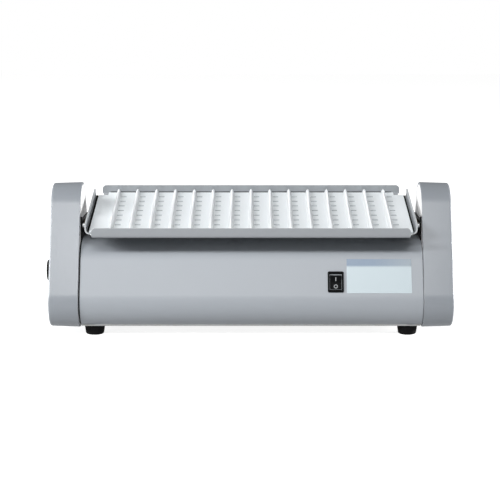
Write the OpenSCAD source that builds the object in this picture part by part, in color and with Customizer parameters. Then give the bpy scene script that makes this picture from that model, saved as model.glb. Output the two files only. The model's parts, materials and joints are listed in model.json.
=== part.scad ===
// Test tube rocker: a sheet steel tray with a ridged tube mat rocks between
// two moulded end caps, driven by a gear motor, a crank and a slotted arm.
// The row frame stands on the floor under the middle of the whole outline,
// with X along the machine, -Y at its back (the switch side) and Z up.
// Every module but the outlines draws one named piece or a group of like ones.

/* [End caps] */
// Height of the caps' lower edge above the floor
cap_base_z = 8.2; // [6:0.1:16]
// Width of one end cap along X
cap_w = 30.2; // [24:0.1:40]
// Radius of the caps' two lower corners
corner_r = 27; // [15:0.5:32]
// Distance from the middle to the centre of a lower corner
corner_y = 42.6; // [36:0.2:60]
// Radius of the caps' rounded top
cap_top_r = 31; // [24:0.5:36]
// Height of the top arc's centre over the caps' lower edge
cap_arc_h = 111; // [100:0.2:125]
// How much the caps shrink all round towards their outer face
cap_draft = 0.8; // [0:0.1:3]
// Rounding of the caps' outer edge
cap_edge_r = 2.2; // [1:0.1:5]
// Wall of the moulded caps
cap_wall = 2.2; // [1.6:0.1:3]
// Thickness of the covers that close the caps
cover_t = 2; // [1.2:0.1:3]

/* [Housing] */
// Gap between the tray's ends and the side frames
tray_end_gap = 5.3; // [3:0.1:8]
// Wall of the housing shell
shell_wall = 2; // [1.5:0.1:3]
// How far the housing lies inside the caps' outline
shell_inset = 2.1; // [0:0.1:3]
// Height of the housing's top above the floor
shell_top = 96; // [88:0.5:97]
// Radius of the housing's two upper shoulders
shoulder_r = 33; // [20:0.5:40]
// Half width of the opening under the housing
shell_open_y = 52; // [46:0.5:56]
// Gap between the base plate's edge and the shell
base_gap = 0.3; // [0.1:0.1:1]
// Thickness of the base plate
base_t = 1.5; // [1:0.1:3]
// Height of the base plate's turned-up edges
base_rim_h = 9; // [5:0.5:15]

/* [Side frames] */
// Thickness of the steel side frames
frame_t = 1.5; // [1:0.1:2.5]
// How far a side frame lies inside the housing's outline
frame_inset = 1.2; // [0.8:0.1:1.8]
// Half width of the tower that carries the bush
tower_y = 30; // [22:0.5:31]
// Height of the tower's horn on the switch side above the pivot
horn_h = 14.5; // [12:0.5:16]
// Height of the tower's saddle above the pivot
saddle_h = 10; // [9.5:0.5:11]
// Length of a side frame's foot along X
foot_flange_l = 14; // [10:0.5:24]
// Half width of a side frame's foot
foot_flange_y = 34; // [20:1:44]

/* [Pivot] */
// Height of the rocking axis above the floor
pivot_z = 104.5; // [104:0.5:110]
// Tilt of the tray at either end of its travel
tilt = 11; // [6:0.5:12]
// Radius of the pivot shafts
shaft_r = 4; // [3:0.1:5]
// Radial clearance of a running fit
run_gap = 0.05; // [0.02:0.01:0.09]
// Outer radius of the bushes
bush_r = 7; // [6:0.1:7.5]
// Radius of the bushes' flanges
bush_flange_r = 9; // [8:0.1:10]
// Radius of the tray brackets' hubs
hub_r = 6.5; // [5.8:0.1:7]
// Thickness of the thrust washers
washer_t = 2; // [1:0.1:2.6]

/* [Tray] */
// Length of the tray over its end lips
tray_l = 333; // [310:0.5:400]
// Depth of the tray over its long lips
tray_w = 135; // [110:0.5:140]
// Height of the lips over the tray's underside
lip_h = 10.7; // [7:0.1:14]
// Thickness of the tray's sheet
sheet_t = 1.5; // [1:0.1:2]
// Outer bend radius of the end lips
end_bend_r = 5; // [3:0.1:7]
// Outer bend radius of the long lips
long_bend_r = 3; // [2.5:0.1:5]
// How far the long lips end short of the tray's ends
long_lip_in = 7.8; // [5.5:0.1:20]
// How far the end lips end short of the tray's long sides
end_lip_in = 12; // [8:0.5:25]
// Length of the corner reliefs along the long lips' bends
relief_l = 2.5; // [1:0.1:10]
// Corner rounding of the long lips
lip_corner_r = 4; // [2:0.5:6]
// Height of the tray's underside over the rocking axis
tray_rise = 11.3; // [10:0.1:14]

/* [Tube mat] */
// Gap between the mat and the tray's end lips
mat_end_gap = 2.8; // [0.5:0.1:8]
// Gap between the mat and the tray's long lips
mat_side_gap = 1; // [0.3:0.1:6]
// Length of the notches in the mat's corners along X
mat_notch_l = 10.2; // [8:0.5:25]
// Depth of the notches in the mat's corners
mat_notch_w = 8.5; // [6:0.5:20]
// Thickness of the mat's sheet
mat_t = 1.6; // [1:0.1:3]
// Distance between ridges
ridge_pitch = 20.1; // [15:0.1:30]
// Width of a ridge at its foot
ridge_w = 4.6; // [3:0.1:6]
// Height of a ridge
ridge_h = 5.2; // [3:0.1:8]
// How far the ridges end short of the mat's long sides
ridge_in = 3.5; // [1:0.5:12]
// Distance between the drain slots along a ridge
slot_pitch = 14.4; // [10:0.2:25]
// Length of a drain slot across its channel
slot_l = 6; // [3:0.1:8]
// Width of a drain slot along its channel
slot_w = 2.4; // [1:0.1:4]
// Distance from a ridge's foot to its drain slots
slot_in = 0.4; // [0.3:0.1:3]
// Gap between the mat and the tray
mat_gap = 0.2; // [0.1:0.05:0.5]

/* [Drive] */
// Distance from the rocking axis down to the crank's axis
arm_d = 36; // [32:0.5:37]
// Radius of the crank pin
pin_r = 3; // [2:0.1:3.5]
// Slack of the crank pin on each side of the arm's slot
pin_slack = 1.7; // [1.5:0.1:2]
// Half width of the slotted arm
arm_half_w = 9; // [8.5:0.1:11]
// Thickness of the slotted arm
arm_t = 5; // [3:0.1:6]
// Radius of the crank disc
crank_disc_r = 12; // [11.5:0.1:14]
// Thickness of the crank disc
crank_disc_t = 4.5; // [3:0.1:5]
// Radius of the gear motor
motor_r = 18; // [15:0.5:22]
// Length of the gear motor's gearbox
gearbox_l = 22; // [15:0.5:30]
// Length of the motor behind its gearbox
motor_l = 32; // [20:0.5:50]
// Radius of the motor's shaft
motor_shaft_r = 3; // [2:0.1:4]

/* [Feet] */
// Distance of the feet's centres in from the side frames
foot_in = 12.5; // [10:0.2:40]
// Distance of the feet's centres in from the edges of the opening under the housing
foot_side = 12; // [11:0.5:26]
// Radius of a foot where it meets the base
foot_r = 10.4; // [7:0.1:11]
// Radius of a foot at the floor
foot_tip_r = 9.4; // [6.5:0.1:10]

/* [Switch] */
// Distance of the switch from the middle
switch_x = 85; // [30:0.5:120]
// Height of the switch's centre above the floor
switch_z = 57.2; // [52:0.2:64]
// Width of the switch's bezel
bezel_w = 16; // [14:0.1:20]
// Height of the switch's bezel
bezel_h = 21.5; // [20:0.1:24]
// Angle between the switch's two positions
switch_swing = 18; // [10:1:20]

/* [Speed knob] */
// Height of the knob above the floor
knob_z = 58; // [50:0.5:60]
// Radius of the knob
knob_r = 11.5; // [8:0.1:14]
// How far the knob stands out of the cap
knob_proud = 8; // [6:0.1:14]
// Gap between the knob and the cap
knob_gap = 0.6; // [0.3:0.1:1.5]
// Radius of the knob's shaft
pot_shaft_r = 3; // [2:0.1:3.2]

/* [Power inlet] */
// Height of the inlet above the floor
jack_z = 45; // [35:0.5:70]
// Distance of the inlet from the middle plane
jack_y = -30; // [-40:0.5:0]
// Radius of the inlet's flange
jack_flange_r = 7; // [6:0.1:9]
// Thickness of the inlet's flange
jack_proud = 1.6; // [1:0.1:3]
// Radius of the inlet's socket
jack_bore_r = 2.8; // [2.5:0.05:3.2]

/* [Control board] */
// Distance of the board's centre from the middle
board_x = 60; // [20:1:90]
// Length of the board along X
board_l = 90; // [70:1:120]
// Depth of the board
board_w = 60; // [50:1:90]
// Thickness of the board
board_t = 1.6; // [1:0.1:2.4]
// Height of the board over the base plate
board_lift = 8; // [5:0.5:15]
// Distance of the board's holes from its edges
board_hole_in = 4; // [3.5:0.1:6]
// Length of the board's transformer
transformer_l = 26; // [15:1:30]
// Depth of the board's transformer
transformer_w = 30; // [15:1:34]
// Height of the board's transformer
transformer_h = 20; // [10:1:26]
// Radius of the board's two capacitors
capacitor_r = 6; // [3:0.5:7]
// Height of the capacitors
capacitor_h = 18; // [8:1:24]

/* [Hidden] */
$fn = 64;
eps = 0.01;

// Colours
moulding_grey = [0.74, 0.76, 0.78];
cover_grey = [0.80, 0.82, 0.84];
painted_grey = [0.70, 0.73, 0.74];
mat_white = [0.91, 0.94, 0.95];
black_plastic = [0.09, 0.09, 0.10];
black_steel = [0.14, 0.14, 0.15];
rubber_black = [0.06, 0.06, 0.06];
zinc = [0.72, 0.73, 0.72];
bronze = [0.72, 0.52, 0.28];
board_green = [0.10, 0.36, 0.20];

// Places along X, measured outwards from the middle of the housing
shell_l = tray_l + 2 * tray_end_gap;
frame_x = shell_l / 2;
cap_x = frame_x + frame_t;
cover_x = cap_x + cover_t;
cap_face_x = cap_x + cap_w;
cap_inside_x = cap_face_x - cap_wall;
mid_x = (knob_proud - jack_proud) / 2;
foot_x = frame_x - foot_in;
foot_y = shell_open_y - foot_side;

// Outline of caps and housing in the YZ plane
corner_z = cap_base_z + corner_r;
cap_arc_z = cap_base_z + cap_arc_h;
side_rise = 180 - atan2(cap_arc_z - corner_z, corner_y)
    - acos((corner_r - cap_top_r) / norm([corner_y, cap_arc_z - corner_z]));
side_reach = cos(side_rise) * corner_y + sin(side_rise) * corner_z + corner_r;
shoulder_z = shell_top - shoulder_r;
shoulder_y = (side_reach - shell_inset - shoulder_r - sin(side_rise) * shoulder_z) / cos(side_rise);
shell_base_z = cap_base_z + shell_inset;
base_top_z = shell_base_z + base_t;

// Tray and mat
long_lip_l = tray_l - 2 * long_lip_in;
end_lip_l = tray_w - 2 * end_lip_in;
mat_l = tray_l - 2 * (sheet_t + mat_end_gap);
mat_w = tray_w - 2 * (sheet_t + mat_side_gap);
mat_mid_l = mat_l - 2 * mat_notch_l;
mat_end_w = mat_w - 2 * mat_notch_w;
mat_z = tray_rise + sheet_t + mat_gap;
mat_top = mat_z + mat_t;
ridge_l = mat_w - 2 * ridge_in;
ridge_count = floor((mat_mid_l - ridge_w) / ridge_pitch) + 1;
first_ridge_x = -(ridge_count - 1) / 2 * ridge_pitch;
slot_rows = floor(ridge_l / slot_pitch);

// Drive
crank_z = pivot_z - arm_d;
crank_r = arm_d * sin(tilt);
crank_disc_x = cover_x + 2;
arm_x = crank_disc_x + crank_disc_t + 1;
slot_r = pin_r + pin_slack;
slot_near = arm_d * cos(tilt);
slot_far = arm_d + crank_r;
arm_len = slot_far + 2.5;
pin_hole_r = 1.5;

// Screws
m3_r = 1.5;
m3_head_r = 2.8;
m3_head_h = 2;
m4_r = 2;
m4_head_r = 3.8;
m4_head_h = 2.6;
foot_recess = m4_head_h + 2.2;
hole_gap = 0.1;
boss_r = 4;
boss_places = [[-40, cap_base_z + 24.5], [40, cap_base_z + 24.5], [-21, pivot_z + 4], [21, pivot_z + 4]];
frame_screw_y = 24;
frame_screw_x = frame_x - foot_flange_l / 2;
bracket_in_x = tray_l / 2 - 21;
bracket_out_x = frame_x - 0.6 - washer_t;
bracket_flange_t = 3;
bracket_flange_y = 20;
bracket_flange_out = tray_l / 2 - end_bend_r - 1;
tray_screw_y = 14;
tray_screw_x = (bracket_in_x + bracket_flange_out) / 2;
motor_screw_r = 12.5;
washer_r = pivot_z - shell_top - 0.7;

// Control board
board_z = base_top_z + board_lift;
standoff_r = 2.6;
stud_r = 1.5;

// Switch and knob
slot_round = 1.5;
rocker_w = bezel_w - 4.4;
rocker_h = bezel_h - 6;
rocker_r = 8.5;
bezel_t = 1.8;
switch_hole_gap = 0.2;
switch_body_w = bezel_w - 3;
switch_body_h = bezel_h - 2.4;
switch_depth = 15;
rocker_pivot_depth = 2.6;
trunnion_r = 1.2;
trunnion_l = 0.65;
pot_w = 9.5;
pot_h = 11;
pot_depth = 6.8;
pot_bush_r = 3.6;
pot_bush_out = 2.8;

// Lifts everything into the row frame, with the outline's middle at X = 0
module placed() translate([mid_x, 0, 0]) children();

// Mirrors a piece to the right-hand end
module right_hand() mirror([1, 0, 0]) children();

// Moves into the tray's own frame: the rocking axis is X and the tray is level
module on_tray() translate([0, 0, pivot_z]) rotate([tilt, 0, 0]) children();

// A cylinder along X from x0 to x1
module rod_x(r, x0, x1, y, z) translate([x0, y, z]) rotate([0, 90, 0]) cylinder(r = r, h = x1 - x0);

// Extrudes an outline drawn in Y and Z from x0 to x1
module along_x(x0, x1) translate([x0, 0, 0]) rotate([90, 0, 90]) linear_extrude(x1 - x0) children();

// The caps' outline as three discs of thickness t at x, to be hulled
module cap_discs(x, inset, t = eps) {
    for (side = [-1, 1]) rod_x(corner_r - inset, x, x + t, side * corner_y, corner_z);
    rod_x(cap_top_r - inset, x, x + t, 0, cap_arc_z);
}

// The housing's outline, drawn inset from its outer face
module shell_outline(inset) hull() {
    for (side = [-1, 1]) {
        translate([side * corner_y, corner_z]) circle(corner_r - shell_inset - inset);
        translate([side * shoulder_y, shoulder_z]) circle(shoulder_r - inset);
    }
}

// Puts its children on the housing's back wall, local Z outwards and local Y up the wall
module on_back_wall(x, z) {
    wall_y = (side_reach - shell_inset - sin(side_rise) * z) / cos(side_rise);
    translate([x, -wall_y, z]) rotate([90 - side_rise, 0, 0]) children();
}

// A flat plate with round corners, drawn about the origin
module round_plate(w, h, r, t) linear_extrude(t) hull()
    for (x = [-1, 1], y = [-1, 1]) translate([x * (w / 2 - r), y * (h / 2 - r)]) circle(r, $fn = 32);

// A pan head screw that points down its own -Z, head above z = 0
module pan_screw(r, head_r, head_h, len) {
    translate([0, 0, -len]) cylinder(r = r, h = len);
    difference() {
        cylinder(r1 = head_r, r2 = head_r * 0.86, h = head_h);
        translate([0, 0, head_h / 2]) cylinder(r = r * 0.8, h = head_h, $fn = 6);
    }
}

module base_plate() color(zinc) placed() {
    half_y = shell_open_y - base_gap;
    difference() {
        union() {
            translate([-frame_x, -half_y, shell_base_z]) cube([shell_l, 2 * half_y, base_t]);
            for (side = [-1, 1]) translate([-frame_x + foot_flange_l, side * (half_y - base_t / 2) - base_t / 2,
                shell_base_z]) cube([shell_l - 2 * foot_flange_l, base_t, base_rim_h]);
        }
        for (x = [-1, 1], y = [-1, 1]) {
            translate([x * foot_x, y * foot_y, 0]) cylinder(r = m4_r + hole_gap, h = base_top_z + 1);
            translate([x * frame_screw_x, y * frame_screw_y, 0]) cylinder(r = m3_r + 0.02, h = base_top_z + 1);
        }
    }
}

module body_shell() color(moulding_grey) placed() difference() {
    along_x(-frame_x, frame_x) shell_outline(0);
    along_x(-frame_x - 1, frame_x + 1) shell_outline(shell_wall);
    translate([-frame_x - 1, -shell_open_y, 0]) cube([shell_l + 2, 2 * shell_open_y, corner_z - 10]);
    on_back_wall(switch_x, switch_z) translate([0, 0, -shell_wall * 2])
        linear_extrude(shell_wall * 4) square([switch_body_w + 2 * switch_hole_gap,
            switch_body_h + 2 * switch_hole_gap], center = true);
}

// Steel side frame of the left end, with its saddle-shaped tower and its foot
module side_frame() {
    saddle_r = (tower_y * tower_y + pow(horn_h - saddle_h, 2)) / (2 * (horn_h - saddle_h));
    difference() {
        union() {
            along_x(-cap_x, -frame_x) shell_outline(frame_inset);
            translate([-cap_x, -tower_y, shoulder_z]) cube([frame_t, 2 * tower_y, pivot_z + horn_h - shoulder_z]);
            translate([-frame_x, -foot_flange_y, base_top_z]) cube([foot_flange_l, 2 * foot_flange_y, frame_t]);
        }
        rod_x(saddle_r, -cap_x - 1, -frame_x + 1, 0, pivot_z + saddle_h + saddle_r, $fn = 128);
        translate([-cap_x - 1, 0, pivot_z + saddle_h]) cube([frame_t + 2, tower_y + 1, horn_h]);
        rod_x(bush_r + 0.02, -cap_x - 1, -frame_x + 1, 0, pivot_z);
        rod_x(6.1, -cap_x - 1, -frame_x + 1, 0, crank_z);
        for (p = boss_places) rod_x(m3_r + hole_gap, -cap_x - 1, -frame_x + 1, p[0], p[1]);
        for (y = [-1, 1]) {
            rod_x(m3_r + hole_gap, -cap_x - 1, -frame_x + 1, y * motor_screw_r, crank_z);
            translate([-frame_screw_x, y * frame_screw_y, base_top_z - 1]) cylinder(r = m3_r + hole_gap, h = frame_t + 2);
        }
    }
}
module left_side_frame() color(black_steel) placed() side_frame();
module right_side_frame() color(black_steel) placed() right_hand() side_frame();

// Moulded cap of the left end: a drafted cup with four screw bosses
module end_cap() {
    turns = [0, 30, 60, 90];
    difference() {
        hull() {
            cap_discs(-cap_x - eps, 0);
            for (a = turns) cap_discs(-cap_face_x + cap_edge_r * (1 - sin(a)),
                cap_draft + cap_edge_r * (1 - cos(a)));
        }
        hull() {
            cap_discs(-cap_x, cap_wall);
            cap_discs(-cap_inside_x, cap_wall + cap_draft);
        }
    }
    for (p = boss_places) difference() {
        rod_x(boss_r, -cap_inside_x - 0.4, -cover_x, p[0], p[1]);
        rod_x(m3_r + 0.02, -cover_x - 11, -cover_x + 1, p[0], p[1]);
    }
}
module left_end_cap() color(moulding_grey) placed() difference() {
    end_cap();
    rod_x(pot_bush_r + 0.1, -cap_face_x - 1, -cap_inside_x + 1, 0, knob_z);
}
module right_end_cap() color(moulding_grey) placed() difference() {
    right_hand() end_cap();
    rod_x(jack_flange_r - 1.2, cap_inside_x - 1, cap_face_x + 1, jack_y, jack_z);
}

// Flat cover that closes the left cap's open side
module inner_cover() difference() {
    hull() {
        cap_discs(-cover_x, cap_wall + 0.35);
        cap_discs(-cap_x - eps, cap_wall + 0.2);
    }
    rod_x(bush_r + 0.15, -cover_x - 1, -cap_x + 1, 0, pivot_z);
    rod_x(motor_screw_r + 4.5, -cover_x - 1, -cap_x + 1, 0, crank_z);
    for (p = boss_places) rod_x(m3_r + hole_gap, -cover_x - 1, -cap_x + 1, p[0], p[1]);
}
module left_inner_cover() color(cover_grey) placed() inner_cover();
module right_inner_cover() color(cover_grey) placed() right_hand() inner_cover();

// Flanged plain bush of the left end, flange inside the cap
module bush() difference() {
    union() {
        rod_x(bush_r, -cover_x - 3, -frame_x + 0.4, 0, pivot_z);
        rod_x(bush_flange_r, -cover_x - 1.5, -cover_x, 0, pivot_z);
    }
    rod_x(shaft_r + run_gap, -cover_x - 4, -frame_x + 1, 0, pivot_z);
}
module left_bush() color(bronze) placed() bush();
module right_bush() color(bronze) placed() right_hand() bush();

module cap_screws() color(zinc) placed() for (side = [-1, 1], p = boss_places)
    translate([side * frame_x, p[0], p[1]]) rotate([0, -side * 90, 0])
        pan_screw(m3_r, m3_head_r, m3_head_h, cover_x - frame_x + 9);

module frame_screws() color(zinc) placed() for (x = [-1, 1], y = [-1, 1])
    translate([x * frame_screw_x, y * frame_screw_y, base_top_z + frame_t])
        pan_screw(m3_r, m3_head_r, m3_head_h, base_t + frame_t);

module foot() rotate_extrude() difference() {
    polygon(concat([[0, 0], [foot_tip_r - 2.2, 0]],
        [for (a = [15:15:75]) [foot_tip_r - 2.2 + 2.2 * sin(a), 2.2 - 2.2 * cos(a)]],
        [[foot_tip_r, 2.2], [foot_r, shell_base_z - 1.2], [foot_r, shell_base_z], [0, shell_base_z]]));
    translate([-eps, -eps]) square([m4_head_r + 0.8, foot_recess + eps]);
    translate([-eps, -eps]) square([m4_r + hole_gap, shell_base_z + 1]);
}
module feet() color(rubber_black) placed() for (x = [-1, 1], y = [-1, 1])
    translate([x * foot_x, y * foot_y, 0]) foot();

module foot_screws() color(zinc) placed() for (x = [-1, 1], y = [-1, 1])
    translate([x * foot_x, y * foot_y, foot_recess]) rotate([180, 0, 0])
        pan_screw(m4_r, m4_head_r, m4_head_h, base_top_z + 5 - foot_recess);

module foot_nuts() color(zinc) placed() for (x = [-1, 1], y = [-1, 1])
    translate([x * foot_x, y * foot_y, base_top_z]) difference() {
        cylinder(r = m4_head_r, h = 3, $fn = 6);
        translate([0, 0, -1]) cylinder(r = m4_r + 0.02, h = 5);
    }

module gear_motor() color(zinc) placed() difference() {
    union() {
        rod_x(motor_r, -frame_x, -frame_x + gearbox_l, 0, crank_z);
        rod_x(motor_r - 1.2, -frame_x + gearbox_l, -frame_x + gearbox_l + motor_l, 0, crank_z);
        rod_x(5, -frame_x + gearbox_l + motor_l, -frame_x + gearbox_l + motor_l + 2.5, 0, crank_z);
        rod_x(6, -cap_x - 1, -frame_x, 0, crank_z);
    }
    rod_x(motor_shaft_r + run_gap, -cap_x - 2, -frame_x + 12, 0, crank_z);
    for (y = [-1, 1]) rod_x(m3_r + 0.02, -frame_x - 1, -frame_x + 7, y * motor_screw_r, crank_z);
}

module motor_screws() color(zinc) placed() for (y = [-1, 1])
    translate([-cap_x, y * motor_screw_r, crank_z]) rotate([0, -90, 0])
        pan_screw(m3_r, m3_head_r, m3_head_h, frame_t + 6);

module motor_shaft() color(zinc) placed()
    rod_x(motor_shaft_r, -crank_disc_x - crank_disc_t, -frame_x + 11, 0, crank_z);

module crank_disc() color(zinc) placed() difference() {
    union() {
        rod_x(crank_disc_r, -crank_disc_x - crank_disc_t, -crank_disc_x, 0, crank_z);
        rod_x(motor_shaft_r + 3, -crank_disc_x, -crank_disc_x + 2, 0, crank_z);
    }
    rod_x(motor_shaft_r + 0.02, -crank_disc_x - crank_disc_t - 1, -crank_disc_x + 3, 0, crank_z);
    translate([0, crank_r * cos(tilt), crank_z + crank_r * sin(tilt)]) rod_x(pin_hole_r + 0.02,
        -crank_disc_x - crank_disc_t - 1, -crank_disc_x + 1, 0, 0);
}

module crank_pin() color(zinc) placed() translate([0, crank_r * cos(tilt), crank_z + crank_r * sin(tilt)]) {
    rod_x(pin_hole_r, -crank_disc_x - crank_disc_t, -crank_disc_x, 0, 0);
    rod_x(pin_r, -arm_x - arm_t - 1, -crank_disc_x - crank_disc_t, 0, 0);
}

module drive_arm() color(zinc) placed() on_tray() difference() {
    union() {
        rod_x(arm_half_w, -arm_x - arm_t, -arm_x, 0, 0);
        rod_x(arm_half_w, -arm_x - arm_t, -arm_x, 0, -arm_len);
        translate([-arm_x - arm_t, -arm_half_w, -arm_len]) cube([arm_t, 2 * arm_half_w, arm_len]);
    }
    rod_x(shaft_r + 0.02, -arm_x - arm_t - 1, -arm_x + 1, 0, 0);
    rod_x(slot_r, -arm_x - arm_t - 1, -arm_x + 1, 0, -slot_near);
    rod_x(slot_r, -arm_x - arm_t - 1, -arm_x + 1, 0, -slot_far);
    translate([-arm_x - arm_t - 1, -slot_r, -slot_far]) cube([arm_t + 2, 2 * slot_r, slot_far - slot_near]);
}

module left_pivot_shaft() color(zinc) placed()
    rod_x(shaft_r, -arm_x - arm_t - 0.8, -bracket_in_x - 2, 0, pivot_z);
module right_pivot_shaft() color(zinc) placed()
    rod_x(shaft_r, bracket_in_x + 2, cover_x + 3.6, 0, pivot_z);

// Bracket under the tray's left end, with a hub that clamps the pivot shaft
module tray_bracket() on_tray() difference() {
    union() {
        rod_x(hub_r, -bracket_out_x, -bracket_in_x, 0, 0);
        translate([-bracket_flange_out, -hub_r, 0]) cube([bracket_flange_out - bracket_in_x, 2 * hub_r, tray_rise]);
        translate([-bracket_flange_out, -bracket_flange_y, tray_rise - bracket_flange_t])
            cube([bracket_flange_out - bracket_in_x, 2 * bracket_flange_y, bracket_flange_t]);
    }
    rod_x(shaft_r + 0.02, -bracket_out_x - 1, -bracket_in_x - 2, 0, 0);
    for (y = [-1, 1]) translate([-tray_screw_x, y * tray_screw_y, tray_rise - bracket_flange_t - 1])
        cylinder(r = m4_r + hole_gap, h = bracket_flange_t + 2);
}
module left_tray_bracket() color(black_plastic) placed() tray_bracket();
module right_tray_bracket() color(black_plastic) placed() right_hand() tray_bracket();

module thrust_washer() difference() {
    rod_x(washer_r, -bracket_out_x - washer_t, -bracket_out_x, 0, pivot_z);
    rod_x(shaft_r + 0.02, -bracket_out_x - washer_t - 1, -bracket_out_x + 1, 0, pivot_z);
}
module left_thrust_washer() color(black_plastic) placed() thrust_washer();
module right_thrust_washer() color(black_plastic) placed() right_hand() thrust_washer();

// A bent channel's section: flat bottom, two round bends and two lips
module channel_section(w, bend_r) {
    translate([-w / 2 + bend_r, 0]) square([w - 2 * bend_r, sheet_t]);
    for (side = [-1, 1]) scale([side, 1]) {
        translate([w / 2 - sheet_t, bend_r]) square([sheet_t, lip_h - bend_r]);
        translate([w / 2 - bend_r, bend_r]) intersection() {
            difference() {
                circle(bend_r);
                circle(bend_r - sheet_t);
            }
            translate([0, -bend_r]) square(bend_r);
        }
    }
}

module tray() color(painted_grey) placed() on_tray() translate([0, 0, tray_rise]) difference() {
    union() {
        difference() {
            along_x(-long_lip_l / 2, long_lip_l / 2) channel_section(tray_w, long_bend_r);
            for (x = [-1, 1], y = [-1, 1]) translate([x * (long_lip_l / 2 - lip_corner_r), y * tray_w / 2,
                lip_h - lip_corner_r]) rotate([90, 0, 0]) difference() {
                    translate([x > 0 ? 0 : -lip_corner_r - 1, 0, -3]) cube([lip_corner_r + 1, lip_corner_r + 1, 6]);
                    translate([0, 0, -4]) cylinder(r = lip_corner_r, h = 8);
                }
        }
        translate([0, end_lip_l / 2, 0]) rotate([90, 0, 0])
            linear_extrude(end_lip_l) channel_section(tray_l, end_bend_r);
        linear_extrude(sheet_t) square([2 * (tray_l / 2 - end_bend_r), 2 * (tray_w / 2 - long_bend_r)], center = true);
    }
    for (x = [-1, 1], y = [-1, 1]) scale([x, y]) translate([0, 0, -1]) linear_extrude(long_bend_r + 1)
        polygon([[tray_l / 2 - end_bend_r, end_lip_l / 2], [long_lip_l / 2 - relief_l, tray_w / 2 - long_bend_r],
            [long_lip_l / 2, tray_w / 2], [long_lip_l / 2, tray_w / 2 + 1], [tray_l / 2, tray_w / 2 + 1],
            [tray_l / 2, end_lip_l / 2]]);
    for (x = [-1, 1], y = [-1, 1]) translate([x * tray_screw_x, y * tray_screw_y, -1])
        cylinder(r = m4_r + 0.02, h = sheet_t + 2);
}

module tray_screws() color(zinc) placed() on_tray() for (x = [-1, 1], y = [-1, 1])
    translate([x * tray_screw_x, y * tray_screw_y, tray_rise - bracket_flange_t]) rotate([180, 0, 0])
        pan_screw(m4_r, m4_head_r, m4_head_h - 0.6, bracket_flange_t + sheet_t);

module tube_mat() color(mat_white) placed() on_tray() translate([0, 0, mat_z]) linear_extrude(mat_t) difference() {
    polygon([for (q = [[1, 1], [-1, 1], [-1, -1], [1, -1]]) each
        q[0] * q[1] > 0
        ? [[q[0] * mat_l / 2, q[1] * mat_end_w / 2], [q[0] * mat_mid_l / 2, q[1] * mat_end_w / 2],
            [q[0] * mat_mid_l / 2, q[1] * mat_w / 2]]
        : [[q[0] * mat_mid_l / 2, q[1] * mat_w / 2], [q[0] * mat_mid_l / 2, q[1] * mat_end_w / 2],
            [q[0] * mat_l / 2, q[1] * mat_end_w / 2]]]);
    for (i = [0:ridge_count - 1], k = [0:slot_rows - 1])
        translate([first_ridge_x + i * ridge_pitch + ridge_w / 2 + slot_in,
            (k - (slot_rows - 1) / 2) * slot_pitch - slot_w / 2]) square([slot_l, slot_w]);
}

// Pointed ridges, whose section is where two circles cross
module mat_ridges() color(mat_white) placed() on_tray() {
    arch_c = (ridge_h * ridge_h - ridge_w * ridge_w / 4) / ridge_w;
    for (i = [0:ridge_count - 1]) translate([first_ridge_x + i * ridge_pitch, ridge_l / 2, mat_top])
        rotate([90, 0, 0]) linear_extrude(ridge_l) intersection() {
            translate([arch_c, 0]) circle(arch_c + ridge_w / 2);
            translate([-arch_c, 0]) circle(arch_c + ridge_w / 2);
            translate([-ridge_w, 0]) square([2 * ridge_w, ridge_h + 1]);
        }
}

module control_board() color(board_green) placed() translate([board_x, 0, board_z]) difference() {
    translate([-board_l / 2, -board_w / 2, 0]) cube([board_l, board_w, board_t]);
    for (x = [-1, 1], y = [-1, 1]) translate([x * (board_l / 2 - board_hole_in),
        y * (board_w / 2 - board_hole_in), -1]) cylinder(r = stud_r + hole_gap, h = board_t + 2);
}

module board_standoffs() color(zinc) placed() for (x = [-1, 1], y = [-1, 1])
    translate([board_x + x * (board_l / 2 - board_hole_in), y * (board_w / 2 - board_hole_in), base_top_z]) {
        cylinder(r = standoff_r, h = board_lift);
        cylinder(r = stud_r, h = board_lift + 2 * board_t);
    }

// Transformer, two capacitors and a terminal block, spaced along the board
module board_parts() color(black_plastic) placed() translate([board_x, 0, board_z + board_t]) {
    edge = board_l / 2 - 2 * board_hole_in;
    translate([-edge, -transformer_w / 2, 0]) cube([transformer_l, transformer_w, transformer_h]);
    for (y = [-1, 1]) translate([transformer_l - edge + 2 * capacitor_r, y * (capacitor_r + 1), 0])
        cylinder(r = capacitor_r, h = capacitor_h);
    translate([edge - transformer_l / 2, -transformer_w / 2, 0])
        cube([transformer_l / 2, transformer_w, transformer_h / 2]);
}

module speed_pot() color(black_plastic) placed() difference() {
    union() {
        translate([-cap_inside_x, -pot_w / 2, knob_z - pot_h / 2]) cube([pot_depth, pot_w, pot_h]);
        rod_x(pot_bush_r, -cap_face_x - pot_bush_out, -cap_inside_x, 0, knob_z);
    }
    rod_x(pot_shaft_r + run_gap, -cap_face_x - pot_bush_out - 1, -cap_inside_x + 4, 0, knob_z);
}

module pot_shaft() color(zinc) placed()
    rod_x(pot_shaft_r, -cap_face_x - knob_proud + 2, -cap_inside_x + 3.5, 0, knob_z);

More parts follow.
